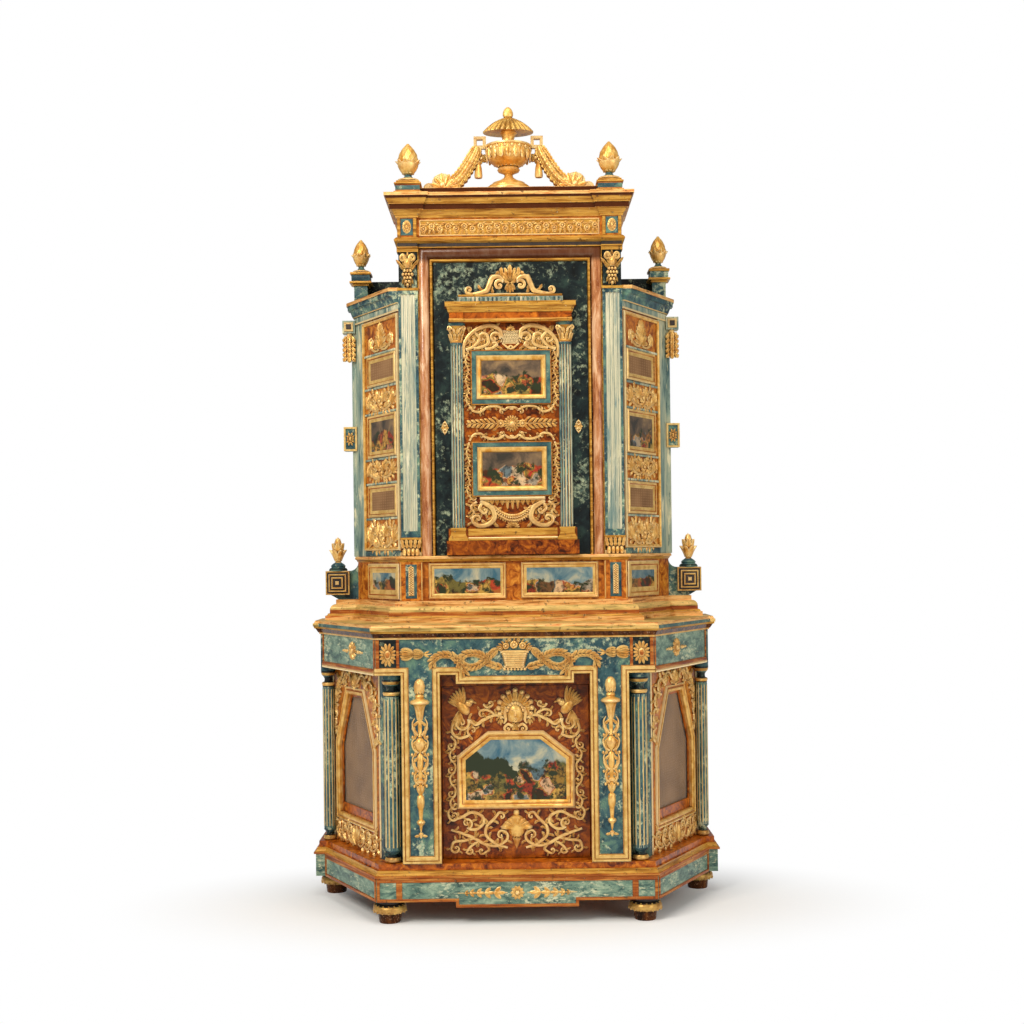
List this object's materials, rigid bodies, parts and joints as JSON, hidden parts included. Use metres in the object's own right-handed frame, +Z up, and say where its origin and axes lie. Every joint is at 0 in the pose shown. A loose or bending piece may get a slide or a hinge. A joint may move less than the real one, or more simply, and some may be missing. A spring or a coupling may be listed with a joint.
{
  "type": "two-part cabinet",
  "caption": "Tall two-part display cabinet with a canted base, splayed wings, a hinged pedimented upper door and a hinged lower door, painted and gilt, topped by an urn.",
  "frame": {"origin": "middle of the standing face, under the centre of the overall box", "axes": "+X to the right seen from the front, +Y towards the wall behind, +Z up"},
  "size_m": [1.312, 0.568, 2.518],
  "materials": {
    "lapis_paint": "scumbled blue-green paint, satin",
    "tortoise_paint": "mottled brown paint, glossy varnish",
    "gilding": "worn water gilding over red bole",
    "porphyry_paint": "red stone-like paint, polished",
    "siena_paint": "streaked ochre and gilt paint",
    "dark_wood": "dark stained, waxed",
    "bare_wood": "plain softwood",
    "picture": "painted behind glass",
    "pane": "clear old glass",
    "cloth": "brown-grey woven cloth",
    "brass": "worn",
    "steel": "dull"
  },
  "bodies": {
    "carcass": {"feet_front": "dark_wood", "feet_rear": "dark_wood", "plinth_front": "lapis_paint", "plinth_cants": "lapis_paint", "plinth_rear": "lapis_paint", "base_floor": "siena_paint", "base_back": "bare_wood", "base_cants": "tortoise_paint", "cant_panes": "pane", "cant_linings": "cloth", "base_ends": "lapis_paint", "base_stiles": "lapis_paint", "base_rails": "lapis_paint", "base_architrave": "gilding", "base_frieze": "lapis_paint", "base_cornice": "siena_paint", "columns_front": "lapis_paint", "columns_rear": "lapis_paint", "base_shelf": "bare_wood", "lower_door_pivots": "steel", "upper_plinth": "siena_paint", "dowels": "bare_wood", "predella_boards": "tortoise_paint", "predella_posts": "tortoise_paint", "panel_frames": "gilding", "panel_pictures": "picture", "upper_floor": "siena_paint", "upper_back": "lapis_paint", "upper_sides": "lapis_paint", "pilasters": "lapis_paint", "door_surround": "porphyry_paint", "upper_shelves": "bare_wood", "entablature": "tortoise_paint", "main_cornice": "siena_paint", "urn_stand": "siena_paint", "corner_finials": "gilding", "urn": "gilding", "urn_lid": "gilding", "urn_scrolls": "gilding", "wing_panels": "tortoise_paint", "wing_ends": "lapis_paint", "wing_cornices": "lapis_paint", "wing_finials": "gilding", "side_brackets": "lapis_paint", "side_flames": "gilding", "upper_door_pivots": "steel"},
    "upper_door": {"upper_door": "lapis_paint", "aedicule_plinth": "tortoise_paint", "aedicule_columns": "lapis_paint", "aedicule_entablature": "gilding", "aedicule_crest": "gilding", "door_frames": "gilding", "door_pictures": "picture", "lock_case": "steel", "escutcheons": "brass"},
    "lock_bolt": {"lock_bolt": "steel"},
    "lower_door": {"lower_door": "tortoise_paint", "lower_door_frame": "gilding", "lower_door_picture": "picture"}
  },
  "joints": [
    {"name": "upper_door_hinge", "type": "hinge", "parent": "carcass", "child": "upper_door", "pos_m": [-0.2345, -0.05, 1.1], "axis": [0, 0, -1], "range_deg": [0, 90]},
    {"name": "lock_bolt_slide", "type": "slide", "parent": "upper_door", "child": "lock_bolt", "axis": [1, 0, 0], "range_m": [0, 0.012]},
    {"name": "lower_door_hinge", "type": "hinge", "parent": "carcass", "child": "lower_door", "pos_m": [-0.19, -0.188, 0.181], "axis": [0, 0, -1], "range_deg": [0, 90]}
  ]
}
